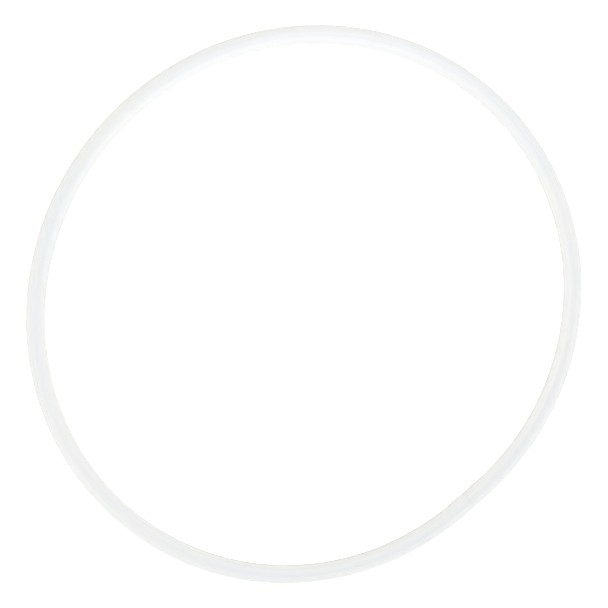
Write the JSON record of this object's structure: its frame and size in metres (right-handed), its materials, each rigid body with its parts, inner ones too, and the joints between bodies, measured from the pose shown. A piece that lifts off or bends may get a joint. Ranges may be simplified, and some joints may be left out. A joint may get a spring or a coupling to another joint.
{
  "type": "rhythmic gymnastics hoop",
  "caption": "Light round hoop of smooth white plastic tube, for rhythmic gymnastics: rolled, spun, thrown and stepped through. The tube's ends meet over a hidden plug.",
  "frame": {"origin": "middle of the hoop's box at its underside, where the tube touches the floor", "axes": "+Z is the ring's axis, up from the floor that the hoop lies on; -Y points at the joint, +Y at the crown opposite it"},
  "size_m": [0.6054, 0.5903, 0.02],
  "materials": {
    "tube_plastic": "smooth satin-gloss white polyethylene, slightly milky",
    "plug_plastic": "natural moulded polyethylene",
    "staple_steel": "galvanised staple wire"
  },
  "bodies": {
    "root": {"hoop_tube": "tube_plastic", "joint_plug": "plug_plastic", "joint_staples": "staple_steel"}
  },
  "joints": []
}
